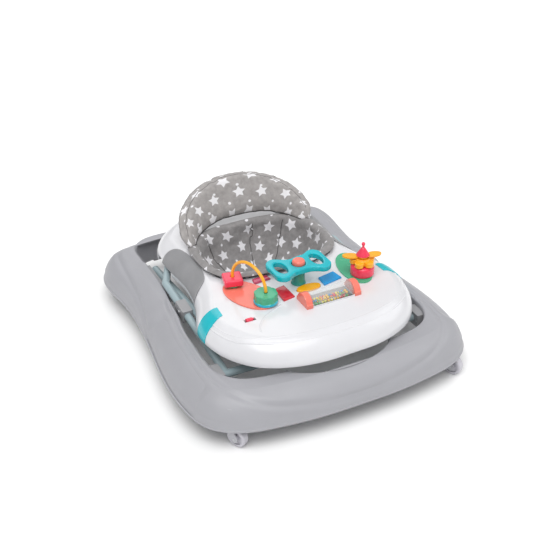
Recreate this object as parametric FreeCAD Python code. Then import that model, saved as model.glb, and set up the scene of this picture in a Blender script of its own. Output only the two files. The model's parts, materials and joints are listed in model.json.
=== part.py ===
import FreeCAD, Part
import math
import os

# Baby walker, folded flat. +Z is up, -Y is the toy end, the child faces -Y.
# The origin is on the floor, under the middle of the base ring. Millimetres.

V = FreeCAD.Vector
X_AXIS = V(1, 0, 0)
Y_AXIS = V(0, 1, 0)
Z_AXIS = V(0, 0, 1)

# Base ring
SKIRT_Z = 42.0
RING_WALL = 3.0
RING_LEVELS = [(42, 0), (56, 3), (74, 10), (88, 20), (97, 33), (103, 48)]
RING_HALF = [(0, -350), (-90, -348), (-165, -339), (-232, -322), (-278, -285), (-299, -215),
             (-300, -130), (-287, -20), (-277, 80), (-280, 190), (-286, 260), (-268, 310),
             (-225, 334), (-150, 345), (-70, 349), (0, 350)]
OPENING_HALF = [(0, -262), (-60, -262), (-124, -263), (-165, -258), (-200, -244), (-224, -214),
                (-231, -165), (-230, -110), (-227, -50), (-219, -5), (-215, 40), (-209, 85),
                (-205, 130), (-204, 190), (-205, 245), (-198, 288), (-175, 308), (-130, 315),
                (-65, 316), (0, 316)]
SCALLOP_Y = -250.0
SCALLOP_A = 113.0
SCALLOP_B = 54.0

# Tray
TRAY_WALL = 3.0
TRAY_LEVELS = [(118, 0), (130, 1), (146, 9), (157, 20), (164, 35)]
TRAY_HALF = [(0, -292), (-60, -290), (-120, -275), (-165, -250), (-200, -206), (-218, -150),
             (-219, -110), (-208, -72), (-192, -30), (-182, 15), (-180, 60), (-185, 115),
             (-186, 165), (-181, 205), (-165, 235), (-138, 262), (-98, 283), (-45, 294), (0, 297)]
DECK_Z = 164.0
DECK_UNDER = DECK_Z - TRAY_WALL
SEAT_Y = 64.0
SEAT_A = 138.0
SEAT_B = 100.0
PAD_Z = 166.0

# Back pad: a horseshoe that leans out all round, arched along its top
PAD_Y = 108.0
PAD_OUTER = (142.0, 84.0)
PAD_INNER = (112.0, 54.0)
PAD_LOFT_Z = 280.0
PAD_OUTER_LEAN = 45.0
PAD_INNER_LEAN = 59.0
PAD_ARCH = (160.0, 104.0)
PAD_FRONT_Y = 98.0

# Scissor frame: two bent tube frames that cross at the middle of each side
TUBE_R = 8.0
TUBE_WALL = 1.2
FRONT_Y = -195.0
MIDDLE_Y = 7.5
REAR_Y = 210.0
LOW_Z = 79.0
MIDDLE_Z = 100.0
HIGH_Z = 121.0
LEG_B_X = 201.5
LEG_A_X = 183.0
LEG_B_END_X = 160.0
RUN_GAP = 0.05
RIVET_R = 3.0
GLIDE_R = 7.0
GLIDE_GAP = 0.3
RAIL_WALL = 2.7
RAIL_FRONT_Y = 94.0
RAIL_BACK_Y = 222.0

# Casters
WHEEL_R = 20.0
WHEEL_WIDTH = 15.0
AXLE_R = 2.5
STEM_R = 5.0
TRAIL = 14.0
CASTERS = {"front_left": (-236, -289, 27), "front_right": (236, -289, 27),
           "rear_left": (-242, 288, 0), "rear_right": (242, 288, 0)}

# Toys on the deck
WHEEL_AT = (4, -93)
ARCH_BACK = (-117, -46)
ARCH_FRONT = (-86, -130)
ARCH_HEIGHT = 44.0
ARCH_R = 3.2
BEAD_GAP = 0.4
SPINNER_AT = (132, -124)
RATTLE_Y = -166.0
RATTLE_Z = 171.0
RATTLE_R = 17.0
RATTLE_X0 = -13.0
RATTLE_X1 = 78.0
BOX_X = 124.0
BOX_Y0 = -236.0
BOX_Y1 = -40.0
BOX_Z = 134.0


def box(x0, x1, y0, y1, z0, z1):
    return Part.makeBox(x1 - x0, y1 - y0, z1 - z0, V(x0, y0, z0))


def upright(x, y, z0, z1, r):
    return Part.makeCylinder(r, z1 - z0, V(x, y, z0), Z_AXIS)


def across(x0, x1, y, z, r):
    return Part.makeCylinder(r, x1 - x0, V(x0, y, z), X_AXIS)


def rod(a, b, r):
    return Part.makeCylinder(r, (b - a).Length, a, b - a)


def fuse(shapes):
    whole = shapes[0]
    for shape in shapes[1:]:
        whole = whole.fuse(shape)
    return whole.removeSplitter()


def cut(shape, tools):
    for tool in tools:
        shape = shape.cut(tool)
    return shape


def mirror(shape):
    return shape.mirror(V(0, 0, 0), X_AXIS)


def biggest(shape):
    return max(shape.Solids, key=lambda solid: solid.Volume)


def both_sides(half):
    """Whole outline from its left half, which starts and ends on the middle plane."""
    return half + [(-x, y) for x, y in reversed(half[1:-1])]


def inset(points, distance):
    """Move each point of a clockwise outline inwards, square to its neighbours' chord."""
    moved = []
    for i, (x, y) in enumerate(points):
        before = points[i - 1]
        after = points[(i + 1) % len(points)]
        run = (after[0] - before[0], after[1] - before[1])
        length = math.hypot(*run)
        moved.append((x + distance * run[1] / length, y - distance * run[0] / length))
    return moved


def outline(points, z):
    curve = Part.BSplineCurve()
    curve.interpolate(Points=[V(x, y, z) for x, y in points], PeriodicFlag=True)
    return Part.Wire(curve.toShape())


def prism(points, z0, z1):
    return Part.Face(outline(points, z0)).extrude(V(0, 0, z1 - z0))


def polygon(points, z0, z1):
    wire = Part.makePolygon([V(x, y, z0) for x, y in points + points[:1]])
    return Part.Face(wire).extrude(V(0, 0, z1 - z0))


def dome(points, levels, grow=0.0):
    """Solid through an outline stepped in at each level; grow thickens it outwards."""
    wires = [outline(inset(points, step - grow), z + grow) for z, step in levels]
    return Part.makeLoft(wires, True, False)


def rounded_oval(y, a, b, power=4, count=24):
    """Points of a squarish oval, clockwise seen from above."""
    points = []
    for i in range(count):
        turn = -2 * math.pi * i / count
        c = math.cos(turn)
        s = math.sin(turn)
        x = a * math.copysign(abs(c) ** (2 / power), c)
        points.append((x, y + b * math.copysign(abs(s) ** (2 / power), s)))
    return points


def oval(at, a, b, heading, z0, z1):
    """Flat oval plate whose long axis points along heading degrees from +X."""
    ring = Part.Ellipse(V(0, 0, 0), a, b).toShape()
    plate = Part.Face(Part.Wire(ring)).extrude(V(0, 0, z1 - z0))
    plate.rotate(V(0, 0, 0), Z_AXIS, heading)
    plate.translate(V(at[0], at[1], z0))
    return plate


def soften(shape, radius, z):
    """Round the edges of a plate or block that lie wholly at height z."""
    edges = [e for e in shape.Edges if abs(e.BoundBox.ZMin - z) < 0.01 and e.BoundBox.ZLength < 0.01]
    return shape.makeFillet(radius, edges)


# ---- base ring ----

def screw_x(x, y, z, towards):
    """Screw along X, its head sunk flush at x, pointing towards -1 or +1."""
    head = Part.makeCylinder(3.5, 1.8, V(x, y, z), V(towards, 0, 0))
    shank = Part.makeCylinder(1.8, 9.0, V(x, y, z), V(towards, 0, 0))
    return head.fuse(shank).removeSplitter()


def scallop(extra, z0, z1):
    ring = Part.Ellipse(V(0, SCALLOP_Y, z0), SCALLOP_A + extra, SCALLOP_B + extra).toShape()
    return Part.Face(Part.Wire(ring)).extrude(V(0, 0, z1 - z0))


def leg_opening(extra, z0, z1):
    main = prism(inset(both_sides(OPENING_HALF), -extra), z0, z1)
    return main.fuse(scallop(extra, z0, z1))


def base_ring():
    points = both_sides(RING_HALF)
    outer = dome(points, RING_LEVELS)
    cavity_levels = [(z - RING_WALL * 0.6, step + RING_WALL) for z, step in RING_LEVELS]
    cavity_levels[-1] = (RING_LEVELS[-1][0] - RING_WALL, RING_LEVELS[-1][1] + RING_WALL)
    cavity_levels[0] = (SKIRT_Z - 1.0, RING_WALL)
    cavity = dome(points, cavity_levels).cut(leg_opening(RING_WALL, 30, 120))
    ring = outer.cut(cavity).cut(leg_opening(0.0, 30, 120))
    for x, y, yaw in CASTERS.values():
        boss = upright(x, y, 54, 100, 12).common(outer)
        ring = ring.fuse(boss)
    ring = ring.removeSplitter()
    for x, y, yaw in CASTERS.values():
        ring = ring.cut(upright(x, y, 50, 72, STEM_R + RUN_GAP))
    return biggest(ring)


def front_bracket():
    """Block on the ring's inner wall that holds the end of the lower cross tube."""
    block = box(-229.5, -211, FRONT_Y - 20, FRONT_Y + 20, LOW_Z - 14, LOW_Z + 14)
    bore = across(-225, -200, FRONT_Y, LOW_Z, TUBE_R + RUN_GAP)
    return block.cut(bore)


def c_rail(x_open, x_back, z, top):
    """C-shaped track along Y, open towards x_open, with its web at x_back."""
    side = 1 if x_open > x_back else -1
    web_x = x_back + side * RAIL_WALL
    low = z - GLIDE_R - GLIDE_GAP
    high = z + GLIDE_R + GLIDE_GAP
    y0 = RAIL_FRONT_Y
    y1 = RAIL_BACK_Y
    web = box(min(x_back, web_x), max(x_back, web_x), y0, y1, low - RAIL_WALL, top)
    flange_x = (min(x_back, x_open), max(x_back, x_open))
    lower = box(flange_x[0], flange_x[1], y0, y1, low - RAIL_WALL, low)
    upper = box(flange_x[0], flange_x[1], y0, y1, high, high + RAIL_WALL)
    return fuse([web, lower, upper])


def stopper_pads():
    """Anti-slip strips that hang just below the skirt, front and back, on both sides."""
    pads = []
    for y, wide in ((-331, 1), (326, -1)):
        pad = box(-150, -92, -4, 4, SKIRT_Z - 6, SKIRT_Z + 14)
        pad.rotate(V(-121, 0, 0), Z_AXIS, -6 * wide)
        pad.translate(V(0, y, 0))
        pads += [pad, mirror(pad)]
    return pads


# ---- casters ----

def caster_parts(x, y, yaw):
    """Fork with its stem, wheel and axle; the wheel trails towards -Y, turned by yaw degrees."""
    wheel_y = y - TRAIL
    half = WHEEL_WIDTH / 2
    stem = upright(x, y, 50, 70, STEM_R)
    crown = box(x - half - 4, x + half + 4, y - 9, y + 9, 45, 51)
    cheeks = []
    for side in (-1, 1):
        inner, outer = sorted((x + side * (half + 1), x + side * (half + 4)))
        corners = [(wheel_y - 8, WHEEL_R), (y - 9, 46), (y + 9, 46), (wheel_y + 8, WHEEL_R - 4)]
        loop = [V(inner, cy, cz) for cy, cz in corners]
        cheek = Part.Face(Part.makePolygon(loop + loop[:1])).extrude(V(outer - inner, 0, 0))
        cheeks += [cheek, across(inner, outer, wheel_y, WHEEL_R, 8)]
    fork = fuse([stem, crown] + cheeks)
    axle = across(x - half - 4.5, x + half + 4.5, wheel_y, WHEEL_R, AXLE_R)
    fork = fork.cut(axle)
    rim = across(x - half, x + half, wheel_y, WHEEL_R, WHEEL_R)
    rim = rim.makeFillet(3.0, [e for e in rim.Edges if e.Curve.TypeId == "Part::GeomCircle"])
    for side in (-1, 1):
        dish = Part.makeCylinder(14, 3, V(x + side * half, wheel_y, WHEEL_R), V(-side, 0, 0))
        rim = rim.cut(dish)
    hub = across(x - half, x + half, wheel_y, WHEEL_R, 6)
    wheel = fuse([rim, hub]).cut(across(x - 20, x + 20, wheel_y, WHEEL_R, AXLE_R + RUN_GAP))
    for piece in (fork, wheel, axle):
        piece.rotate(V(x, y, 0), Z_AXIS, yaw)
    return fork, wheel, axle


# ---- scissor frame ----

def bent_tube(points, r):
    pieces = [rod(a, b, r) for a, b in zip(points, points[1:])]
    pieces += [Part.makeSphere(r, p) for p in points[1:-1]]
    return pieces


def rise(y):
    """How far a side tube climbs between the front pivot and y."""
    return (HIGH_Z - LOW_Z) * (y - FRONT_Y) / (REAR_Y - FRONT_Y)


def leg_b_solid(r, extra):
    """Low at the front, high at the back; the back ends turn in under the tray."""
    side = [V(-LEG_B_X, FRONT_Y, LOW_Z)]
    for x, y in ((LEG_B_X, 105), (LEG_B_END_X, 186), (LEG_B_END_X, REAR_Y + 8 + extra)):
        side.append(V(-x, y, LOW_Z + rise(y)))
    tube = fuse(bent_tube(side, r))
    cross = across(-224 - extra, 224 + extra, FRONT_Y, LOW_Z, r)
    return fuse([cross, tube, mirror(tube)])


def leg_a_solid(r, extra):
    """High at the front, low at the back; the front ends turn into the cross tube."""
    y1 = REAR_Y + 8 + extra
    side = [V(0, FRONT_Y, HIGH_Z), V(-LEG_A_X, FRONT_Y, HIGH_Z), V(-LEG_A_X, y1, HIGH_Z - rise(y1))]
    tube = fuse(bent_tube(side, r))
    return fuse([tube, mirror(tube)])


def rivet(extra):
    """Centre rivet through block and both tubes; extra widens it into its hole."""
    return across(-213, -173.5, MIDDLE_Y, MIDDLE_Z, RIVET_R + extra)


def pivot_block():
    block = box(-212, -191.4, MIDDLE_Y - 20, MIDDLE_Y + 20, MIDDLE_Z - 13, MIDDLE_Z + 13)
    slope = math.degrees(math.atan2(HIGH_Z - LOW_Z, REAR_Y - FRONT_Y))
    block.rotate(V(0, MIDDLE_Y, MIDDLE_Z), X_AXIS, slope)
    return block


def glide(x0, x1, pin_x, z):
    """Plastic disc on a pin through the end of a side tube."""
    disc = across(min(x0, x1), max(x0, x1), REAR_Y, z, GLIDE_R)
    pin = across(min(pin_x, x0), max(pin_x, x0), REAR_Y, z, 2.5)
    return disc.fuse(pin).removeSplitter()


# ---- tray ----

def tray_outer(grow=0.0):
    return dome(both_sides(TRAY_HALF), TRAY_LEVELS, grow)


def seat_hole(extra, z0, z1):
    return prism(rounded_oval(SEAT_Y, SEAT_A + extra, SEAT_B + extra), z0, z1)


def tray_shell(outer):
    levels = [(z - TRAY_WALL * 0.7, step + TRAY_WALL) for z, step in TRAY_LEVELS]
    levels[0] = (TRAY_LEVELS[0][0] - 1.0, TRAY_WALL)
    levels[-1] = (DECK_UNDER, TRAY_LEVELS[-1][1] + TRAY_WALL)
    shell = outer.cut(dome(both_sides(TRAY_HALF), levels))
    shell = shell.cut(seat_hole(0.0, 100, 200))
    for side in (-1, 1):
        x0, x1 = sorted((side * 198, side * 172))
        shell = shell.cut(box(x0, x1, 112, 190, 100, 132))
    return shell


def side_insert(outer, skin):
    patch = prism([(-172, 153), (-195, 158), (-225, 130), (-240, 60), (-240, 0), (-215, -22),
                   (-183, -14), (-160, -1), (-150, 20), (-146, 68), (-149, 109), (-157, 137)], 128, 170)
    return biggest(skin.common(patch).cut(outer))


def corner_band(outer, skin):
    patch = polygon([(-176, -103), (-178, -132), (-203, -141), (-240, -141), (-240, -108),
                     (-206, -103)], 119.5, 170)
    return biggest(skin.common(patch).cut(outer))


def tray_bracket():
    """Hanger under the deck that holds the upper cross tube."""
    block = box(-166, -148, FRONT_Y - 12, FRONT_Y + 12, HIGH_Z - 12, DECK_UNDER)
    return block.cut(across(-170, -140, FRONT_Y, HIGH_Z, TUBE_R + RUN_GAP))


def toy_housing():
    shell = box(-BOX_X, BOX_X, BOX_Y0, BOX_Y1, BOX_Z, DECK_UNDER)
    room = box(-BOX_X + 2.5, BOX_X - 2.5, BOX_Y0 + 2.5, BOX_Y1 - 2.5, BOX_Z + 2.5, DECK_UNDER)
    shell = shell.cut(room)
    posts = [upright(x, y, BOX_Z + 1, 142, 4) for x in (-96, 96) for y in (-140, -60)]
    return fuse([shell] + posts).cut(box(20, 96, -228, -196, BOX_Z - 1, BOX_Z + 3))


# ---- seat ----

def seat_sling():
    outer = [(163.8, 136, 98), (140, 130, 93), (104, 106, 76), (74, 60, 46)]
    inner = [(164.8, 131, 93), (140, 125, 88), (106, 100, 70), (80, 54, 40)]
    shells = []
    for levels in (outer, inner):
        wires = [outline(rounded_oval(SEAT_Y, a, b, 3), z) for z, a, b in levels]
        shells.append(Part.makeLoft(wires, True, False))
    sling = shells[0].cut(shells[1])
    for side in (-1, 1):
        sling = sling.cut(Part.makeCylinder(34, 70, V(side * 52, -50, 112), Y_AXIS))
    return sling


def ellipse_wire(centre, a, b):
    return Part.Wire(Part.Ellipse(centre, a, b).toShape())


def flared(half, lean):
    """Oval wall that leans outwards by lean millimetres up to the loft's top."""
    low = ellipse_wire(V(0, PAD_Y, PAD_Z), half[0], half[1])
    high = ellipse_wire(V(0, PAD_Y, PAD_LOFT_Z), half[0] + lean, half[1] + lean)
    return Part.makeLoft([low, high], True, True)


def back_pad():
    """Horseshoe pad that wraps round behind the seat, high in the middle, low at its ends."""
    ring = flared(PAD_OUTER, PAD_OUTER_LEAN).cut(flared(PAD_INNER, PAD_INNER_LEAN))
    ring = ring.cut(box(-250, 250, -100, PAD_FRONT_Y, 100, 400))
    arch = Part.Face(ellipse_wire(V(0, PAD_Z, 0), *PAD_ARCH)).extrude(V(0, 0, 400))
    arch.rotate(V(0, 0, 0), X_AXIS, 90)
    arch.translate(V(0, 400, 0))
    return biggest(ring.common(arch))


# ---- toys ----

def steering_column():
    x, y = WHEEL_AT
    foot = Part.makeCone(15.5, 13, 6, V(x, y, DECK_Z))
    return fuse([foot, upright(x, y, DECK_Z, 192, 13), upright(x, y, 190, 200, 8)])


def steering_wheel():
    """Bow-tie wheel with a hand hole in each lobe and a cup for the horn button."""
    x, y = WHEEL_AT
    half = [(0, 24), (-22, 27), (-44, 37), (-58, 28), (-60, 0), (-58, -28), (-44, -37), (-22, -27), (0, -24)]
    points = [(x + px, y + py) for px, py in both_sides(half)]
    plate = prism(points, 197, 209)
    holes = [oval((x + side * 39, y), 22, 11.5, 90, 180, 220) for side in (-1, 1)]
    cup = upright(x, y, 204, 220, 13.5)
    socket = upright(x, y, 190, 200 + RUN_GAP, 8 + RUN_GAP)
    return cut(plate, holes + [cup, socket])


def horn_button():
    x, y = WHEEL_AT
    return soften(upright(x, y, 206.5, 217, 13), 5, 217)


def bead_arch():
    """Round rod that stands on the plate at two places and bends over between them."""
    a = V(ARCH_BACK[0], ARCH_BACK[1], 190)
    b = V(ARCH_FRONT[0], ARCH_FRONT[1], 190)
    top = (a + b) * 0.5 + V(0, 0, ARCH_HEIGHT)
    arc = Part.Arc(a, top, b).toShape()
    path = Part.Wire([arc])
    tangent = arc.tangentAt(arc.FirstParameter)
    circle = Part.Wire(Part.makeCircle(ARCH_R, a, tangent))
    bend = path.makePipeShell([circle], True, False)
    legs = [rod(V(p.x, p.y, DECK_Z + 3), V(p.x, p.y, 190), ARCH_R) for p in (a, b)]
    joints = [Part.makeSphere(ARCH_R, p) for p in (a, b)]
    return fuse([bend] + legs + joints)


def square_bead():
    x, y = ARCH_BACK
    block = box(x - 19, x + 19, y - 19, y + 19, 172, 187)
    block = block.makeFillet(4, block.Edges)
    block.rotate(V(x, y, 0), Z_AXIS, -14)
    disc = upright(x, y, 167.4, 172, 15)
    return fuse([block, disc]).cut(upright(x, y, 160, 200, ARCH_R + BEAD_GAP))


def flower_bead():
    x, y = ARCH_FRONT
    petals = [upright(x + 13 * math.cos(t), y + 13 * math.sin(t), 173, 188, 10)
              for t in [math.radians(45 * i + 10) for i in range(8)]]
    disc = upright(x, y, 167.4, 173, 24)
    flower = fuse([upright(x, y, 173, 188, 14)] + petals + [disc])
    return flower.cut(upright(x, y, 160, 200, ARCH_R + BEAD_GAP))


def drum():
    x, y = SPINNER_AT
    return soften(upright(x, y, 167.4, 188, 24), 6, 188)


def green_plate():
    """Plate with the post that carries everything on the spinner."""
    x, y = SPINNER_AT
    plate = oval((129, -97), 60, 32, 82, DECK_Z, DECK_Z + 3)
    return fuse([plate, upright(x, y, DECK_Z, 212, 4)])


def star_flower():
    x, y = SPINNER_AT
    petals = [upright(x + 17 * math.cos(t), y + 17 * math.sin(t), 190, 200, 9)
              for t in [math.radians(72 * i) for i in range(5)]]
    return fuse([upright(x, y, 190, 203, 14)] + petals)


def leaf_paddles():
    """Two leaves on a collar above the flower."""
    x, y = SPINNER_AT
    collar = upright(x, y, 203.4, 209, 9)
    leaves = []
    for heading, out, up in ((150, 24, 203.4), (-10, 22, 204.4)):
        t = math.radians(heading)
        at = (x + out * math.cos(t), y + out * math.sin(t))
        leaves.append(oval(at, 17, 9, heading, up, up + 4.5))
    return fuse([collar] + leaves)


def cone_cap():
    x, y = SPINNER_AT
    cone = Part.makeCone(14, 4, 16, V(x, y, 209.4))
    stalk = upright(x, y, 220, 232, 2.5)
    knob = Part.makeSphere(4, V(x, y, 234))
    return fuse([cone, stalk, knob])


def key_plans():
    """Plan outline of each key, clockwise, at the size of the key itself."""
    return {
        "red_key": [(-53, -142), (-51, -97), (-28, -93), (-27, -137)],
        "small_red_key": [(-77, -61), (-74, -45), (-42, -43), (-40, -58)],
        "blue_key": [(44, -127), (46, -99), (84, -91), (88, -118)],
    }


def key(points):
    return soften(polygon(points, 152, 168), 2, 168)


def orange_key():
    return soften(oval((12, -121), 26, 12, 0, 152, 168), 2, 168)


def mode_switch():
    plan = [(-146, -172), (-146, -164), (-134, -164), (-130, -168), (-134, -172)]
    return soften(polygon(plan, 158, 167), 1, 167)


def rattle_cradle():
    """End brackets of the rattle, joined by a trough that hangs in the deck."""
    y0 = RATTLE_Y - 22
    y1 = RATTLE_Y + 22
    ends = []
    for x0, x1 in ((RATTLE_X0 - 14, RATTLE_X0 - 0.5), (RATTLE_X1 + 0.5, RATTLE_X1 + 14)):
        block = box(x0, x1, y0, y1, DECK_Z, 172)
        crown = across(x0, x1, RATTLE_Y, RATTLE_Z - 3, 20).common(box(x0, x1, y0, y1, DECK_Z, 190))
        ends += [block, crown]
    trough = box(RATTLE_X0 - 0.5, RATTLE_X1 + 0.5, y0 + 2, y1 - 2, 150.5, DECK_Z)
    trough = trough.cut(box(-100, 100, y0 + 4, y1 - 4, 152.5, 200))
    rims = [box(RATTLE_X0 - 5, RATTLE_X1 + 5, y, y + 2, DECK_Z, 166) for y in (y0 + 2, y1 - 4)]
    cradle = fuse(ends + [trough] + rims)
    return cradle.cut(across(RATTLE_X0 - 12.3, RATTLE_X1 + 12.3, RATTLE_Y, RATTLE_Z, 4 + RUN_GAP))


def rattle_tube():
    outside = across(RATTLE_X0, RATTLE_X1, RATTLE_Y, RATTLE_Z, RATTLE_R)
    inside = across(RATTLE_X0 + 2, RATTLE_X1 - 2, RATTLE_Y, RATTLE_Z, RATTLE_R - 1.5)
    stubs = across(RATTLE_X0 - 12, RATTLE_X1 + 12, RATTLE_Y, RATTLE_Z, 4).cut(outside)
    return fuse([outside, stubs]).cut(inside)


def rattle_beads():
    beads = []
    for row, z in enumerate((RATTLE_Z - 10.8, RATTLE_Z - 5.2)):
        for i in range(12):
            for j in (-1, 0, 1)[row:]:
                at = V(RATTLE_X0 + 7 + 6.9 * i, RATTLE_Y + (j - 0.5 * row) * 6.2, z)
                beads.append(Part.makeSphere(2.7, at))
    return beads


# ---- assembly ----

def build():
    nodes = {}
    ring = base_ring()
    brackets = {"front_bracket_left": front_bracket()}
    brackets["base_rail_left"] = c_rail(-193.5, -204.6, LOW_Z, LOW_Z + GLIDE_R + GLIDE_GAP + RAIL_WALL)
    screws = [screw_x(-211, FRONT_Y + dy, LOW_Z, -1) for dy in (-15, 15)]
    screws += [screw_x(-201.9, y, LOW_Z, -1) for y in (RAIL_FRONT_Y + 6, RAIL_BACK_Y - 5)]
    screws += [mirror(screw) for screw in screws]
    for name, shape in list(brackets.items()):
        brackets[name] = biggest(cut(shape, [ring] + screws[:4]))
        brackets[name.replace("left", "right")] = mirror(brackets[name])
    pads = stopper_pads()
    pads = [pad.cut(ring) for pad in pads]
    ring = cut(ring, screws)
    nodes["base_ring"] = ring
    nodes.update(brackets)
    nodes["bracket_screws"] = Part.makeCompound(screws)
    nodes["stopper_pads"] = Part.makeCompound([biggest(pad) for pad in pads])
    for place, at in CASTERS.items():
        fork, wheel, axle = caster_parts(*at)
        nodes["caster_fork_" + place] = fork
        nodes["caster_wheel_" + place] = wheel
        nodes["caster_axle_" + place] = axle

    leg_b = leg_b_solid(TUBE_R, 0).cut(leg_b_solid(TUBE_R - TUBE_WALL, 1))
    leg_a = leg_a_solid(TUBE_R, 0).cut(leg_a_solid(TUBE_R - TUBE_WALL, 1))
    glide_a = glide(-200.4, -194.0, -176, LOW_Z)
    glide_b = glide(-145.2, -151.6, -168, HIGH_Z)
    holes = [rivet(RUN_GAP), mirror(rivet(RUN_GAP))]
    block = biggest(pivot_block().cut(leg_b_solid(TUBE_R, 0)).cut(rivet(RUN_GAP)))
    nodes["pivot_block_left"] = block
    nodes["pivot_block_right"] = mirror(block)
    nodes["lower_leg_frame"] = cut(leg_b, holes + [glide_b, mirror(glide_b)])
    rivet_left = fuse([rivet(0), across(-215, -212.1, MIDDLE_Y, MIDDLE_Z, 6),
                       across(-174.9, -173, MIDDLE_Y, MIDDLE_Z, 6)])
    nodes["upper_leg_frame"] = cut(leg_a, [rivet_left, mirror(rivet_left), glide_a, mirror(glide_a)])
    nodes["centre_rivets"] = Part.makeCompound([rivet_left, mirror(rivet_left)])
    nodes["upper_leg_glides"] = Part.makeCompound([glide_a, mirror(glide_a)])
    nodes["lower_leg_glides"] = Part.makeCompound([glide_b, mirror(glide_b)])

    outer = tray_outer()
    shell = tray_shell(outer)
    skin = tray_outer(1.4)
    insert = side_insert(outer, skin)
    band = corner_band(outer, skin)
    below = prism(both_sides(TRAY_HALF), 100, TRAY_LEVELS[0][0])
    rail = biggest(c_rail(-152, -141, HIGH_Z, DECK_Z).common(outer.fuse(below)).cut(shell))
    plans = key_plans()
    wells = [polygon(inset(points, -0.5), 150, 180) for points in plans.values()]
    wells.append(oval((12, -121), 26.5, 12.5, 0, 150, 180))
    wells.append(box(-149.5, -126.5, -172.4, -163.6, 150, 180))
    wells.append(box(RATTLE_X0 - 0.5, RATTLE_X1 + 0.5, RATTLE_Y - 20, RATTLE_Y + 20, 150, 180))
    shell = cut(shell, wells)
    nodes["tray_shell"] = biggest(shell)
    nodes["side_insert_left"] = insert
    nodes["side_insert_right"] = mirror(insert)
    nodes["corner_bands"] = Part.makeCompound([band, mirror(band)])
    hanger = biggest(tray_bracket().cut(shell))
    nodes["tray_brackets"] = Part.makeCompound([hanger, mirror(hanger)])
    nodes["tray_rail_left"] = rail
    nodes["tray_rail_right"] = mirror(rail)
    nodes["toy_housing"] = toy_housing()
    nodes["battery_cover"] = box(20.3, 95.7, -227.7, -196.3, BOX_Z, BOX_Z + 2.5)
    nodes["batteries"] = Part.makeCompound([across(32, 82, y, 145, 7) for y in (-220, -204)])
    nodes["circuit_board"] = box(-102, 102, -146, -52, 142, 143.6)
    nodes["speaker"] = Part.makeCone(14, 20, 10, V(-70, -200, BOX_Z + 2.5))
    nodes["seat_sling"] = seat_sling()
    nodes["back_pad"] = back_pad()

    nodes["coral_plate"] = oval((-104, -92), 62, 37, -70, DECK_Z, DECK_Z + 3)
    nodes["green_plate"] = green_plate()
    nodes["bead_arch"] = bead_arch()
    nodes["square_bead"] = square_bead()
    nodes["flower_bead"] = flower_bead()
    nodes["steering_column"] = steering_column()
    nodes["steering_wheel"] = steering_wheel()
    nodes["horn_button"] = horn_button()
    for name, points in plans.items():
        nodes[name] = key(points)
    nodes["orange_key"] = orange_key()
    nodes["mode_switch"] = mode_switch()
    nodes["rattle_cradle"] = rattle_cradle()
    nodes["rattle_tube"] = rattle_tube()
    nodes["rattle_beads"] = Part.makeCompound(rattle_beads())
    hole = upright(SPINNER_AT[0], SPINNER_AT[1], 150, 212 + RUN_GAP, 4 + RUN_GAP)
    nodes["spinner_drum"] = drum().cut(hole)
    nodes["spinner_flower"] = star_flower().cut(hole)
    nodes["leaf_paddles"] = leaf_paddles().cut(hole)
    nodes["cone_cap"] = cone_cap().cut(hole)
    return nodes


os.makedirs("parts", exist_ok=True)
for name, shape in build().items():
    shape.exportStep("parts/" + name + ".step")
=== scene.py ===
import json
import math

import bpy
import numpy as np
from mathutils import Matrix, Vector, noise

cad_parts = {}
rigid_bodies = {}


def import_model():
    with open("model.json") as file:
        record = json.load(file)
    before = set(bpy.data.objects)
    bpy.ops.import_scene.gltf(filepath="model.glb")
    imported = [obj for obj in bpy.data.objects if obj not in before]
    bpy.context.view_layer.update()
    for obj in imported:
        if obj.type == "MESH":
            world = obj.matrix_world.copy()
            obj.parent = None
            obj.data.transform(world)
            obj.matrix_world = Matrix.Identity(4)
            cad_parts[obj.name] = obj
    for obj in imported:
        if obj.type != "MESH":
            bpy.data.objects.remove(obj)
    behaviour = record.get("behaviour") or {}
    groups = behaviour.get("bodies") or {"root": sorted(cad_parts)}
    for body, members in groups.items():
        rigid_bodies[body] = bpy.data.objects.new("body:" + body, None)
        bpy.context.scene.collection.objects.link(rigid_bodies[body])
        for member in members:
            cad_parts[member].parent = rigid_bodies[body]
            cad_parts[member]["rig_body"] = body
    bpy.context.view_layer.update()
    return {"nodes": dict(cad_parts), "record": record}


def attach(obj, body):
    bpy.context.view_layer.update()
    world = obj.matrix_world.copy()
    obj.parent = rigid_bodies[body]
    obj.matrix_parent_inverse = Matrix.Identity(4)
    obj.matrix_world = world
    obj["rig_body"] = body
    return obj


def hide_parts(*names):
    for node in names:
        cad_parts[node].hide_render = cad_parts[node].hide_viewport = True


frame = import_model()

NODES = frame["nodes"]
MM = 0.001


# ---- shader helpers ----

def new_material(name):
    material = bpy.data.materials.new(name)
    material.use_nodes = True
    return material, material.node_tree, material.node_tree.nodes["Principled BSDF"]


def add(tree, kind, **settings):
    node = tree.nodes.new(kind)
    for key, value in settings.items():
        setattr(node, key, value)
    return node


def sum_up(tree, operation, a, b=None, c=None):
    """One Math node; a, b and c are numbers or sockets."""
    node = add(tree, "ShaderNodeMath", operation=operation)
    for socket, value in zip(node.inputs, (a, b, c)):
        if value is None:
            continue
        if isinstance(value, (int, float)):
            socket.default_value = value
        else:
            tree.links.new(value, socket)
    return node.outputs[0]


def grain(tree, scale, detail=3.0):
    """Noise in object space, with scale in features per metre."""
    place = add(tree, "ShaderNodeTexCoord")
    texture = add(tree, "ShaderNodeTexNoise")
    texture.inputs["Scale"].default_value = scale
    texture.inputs["Detail"].default_value = detail
    tree.links.new(place.outputs["Object"], texture.inputs["Vector"])
    return texture.outputs["Fac"]


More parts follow.
